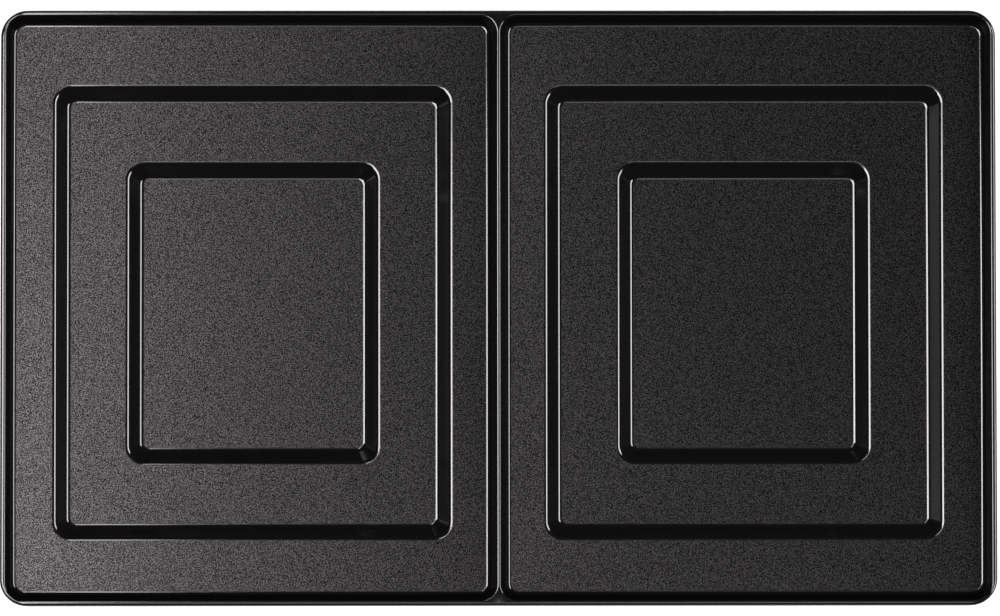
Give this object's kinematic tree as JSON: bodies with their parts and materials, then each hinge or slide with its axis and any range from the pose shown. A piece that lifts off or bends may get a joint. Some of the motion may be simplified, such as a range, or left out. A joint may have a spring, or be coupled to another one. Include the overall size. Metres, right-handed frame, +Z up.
{
  "type": "sandwich maker cooking plate",
  "caption": "Removable non-stick twin-cell cooking plate for a sandwich maker, with stepped square recesses for filled bread.",
  "frame": {"origin": "centre of the plate's outline, on the plane of the two heater pads under its wells", "axes": "+X along the long side, from one cell to the other; +Y to the rear edge, the side with the two tongues; +Z up out of the cells"},
  "size_m": [0.255, 0.1528, 0.0145],
  "materials": {
    "nonstick_aluminium": "cast aluminium under a black non-stick coating, finely grained on the flats and glossier on the slopes"
  },
  "bodies": {
    "root": {"cooking_plate": "nonstick_aluminium"}
  },
  "joints": []
}
